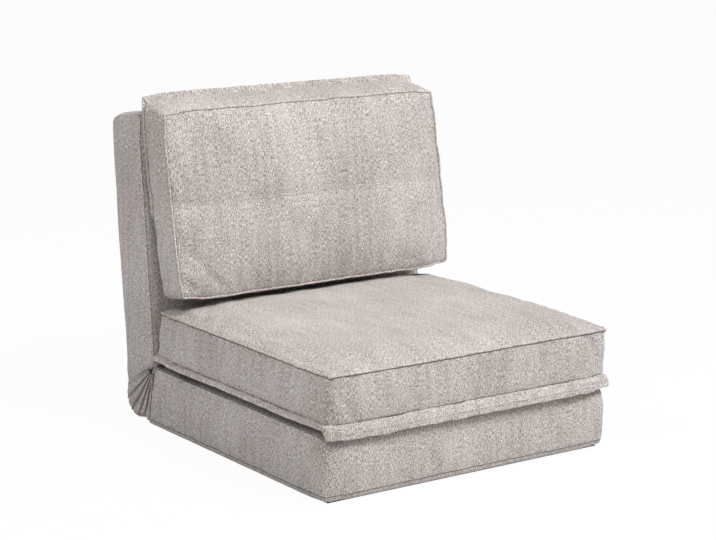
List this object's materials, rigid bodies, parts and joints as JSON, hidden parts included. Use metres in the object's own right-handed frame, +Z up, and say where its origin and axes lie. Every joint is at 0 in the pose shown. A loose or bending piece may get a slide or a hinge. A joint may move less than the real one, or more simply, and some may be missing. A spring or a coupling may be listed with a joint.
{
  "type": "convertible chair bed",
  "caption": "Low upholstered chair bed: a back panel that reclines flat, a seat cushion that flips forward and a hung back cushion.",
  "frame": {"origin": "middle of the base's underside, on the floor", "axes": "+Z up, the seat faces -Y, +X to the right seen from the front"},
  "size_m": [0.714, 0.8197, 0.6919],
  "materials": {
    "upholstery": "coarse woven greige melange",
    "foam": "open-cell polyurethane foam",
    "fibre_fill": "polyester fibre",
    "underside_cloth": "dotted non-woven",
    "webbing": "elastic webbing",
    "frame_steel": "black powder coat",
    "hinge_steel": "zinc plated",
    "zip": "nylon coil"
  },
  "bodies": {
    "base": {"base_cover": "upholstery", "base_cross_rails": "frame_steel", "base_foam_lower": "foam", "base_foam_upper": "foam", "base_frame": "frame_steel", "base_straps": "webbing", "base_tube_rivets": "hinge_steel", "base_underside": "underside_cloth", "base_welt": "upholstery", "base_zip": "zip", "elbow_cover": "upholstery", "elbow_foam": "foam", "hinge_pins": "hinge_steel", "hinge_shells_inner": "hinge_steel", "hinge_shells_outer": "hinge_steel", "pawl_pins": "hinge_steel", "seat_hinge_strip": "upholstery"},
    "back": {"back_cover": "upholstery", "back_cross_rails": "frame_steel", "back_foam_front": "foam", "back_foam_rear": "foam", "back_frame": "frame_steel", "back_straps": "webbing", "back_welt": "upholstery", "back_zip": "zip", "cushion_hanger": "upholstery", "ratchet_plates": "hinge_steel", "ratchet_rivets": "hinge_steel"},
    "seat_cushion": {"seat_cover": "upholstery", "seat_flange": "upholstery", "seat_foam": "foam", "seat_top_welt": "upholstery", "seat_zip": "zip"},
    "back_cushion": {"cushion_cover_lower": "upholstery", "cushion_cover_upper": "upholstery", "cushion_fill_lower": "fibre_fill", "cushion_fill_upper": "fibre_fill", "cushion_flange": "upholstery", "cushion_welt_lower": "upholstery", "cushion_welt_upper": "upholstery", "cushion_zip": "zip"},
    "pawl_left": {"pawl_left": "hinge_steel"},
    "pawl_right": {"pawl_right": "hinge_steel"}
  },
  "joints": [
    {"name": "back_recline", "type": "hinge", "parent": "base", "child": "back", "pos_m": [0, 0.30726, 0.063], "axis": [-1, 0, 0], "range_deg": [0, 83], "deforming": ["elbow_cover", "elbow_foam"]},
    {"name": "seat_flip", "type": "hinge", "parent": "base", "child": "seat_cushion", "pos_m": [0, -0.369, 0.136], "axis": [1, 0, 0], "range_deg": [0, 180], "deforming": ["seat_hinge_strip", "cushion_cover_lower", "cushion_fill_lower", "cushion_welt_lower"]},
    {"name": "back_cushion_flip", "type": "hinge", "parent": "back", "child": "back_cushion", "pos_m": [0, 0.31054, 0.67709], "axis": [-1, 0, 0], "range_deg": [0, 180], "deforming": ["cushion_hanger"]},
    {"name": "pawl_left_lift", "type": "hinge", "parent": "base", "child": "pawl_left", "pos_m": [-0.312, 0.27826, 0.043], "axis": [1, 0, 0], "range_deg": [0, 12], "stiffness_Nm_per_rad": 0.05, "springref_deg": -5.73},
    {"name": "pawl_right_lift", "type": "hinge", "parent": "base", "child": "pawl_right", "pos_m": [0.312, 0.27826, 0.043], "axis": [1, 0, 0], "range_deg": [0, 12], "stiffness_Nm_per_rad": 0.05, "springref_deg": -5.73}
  ]
}
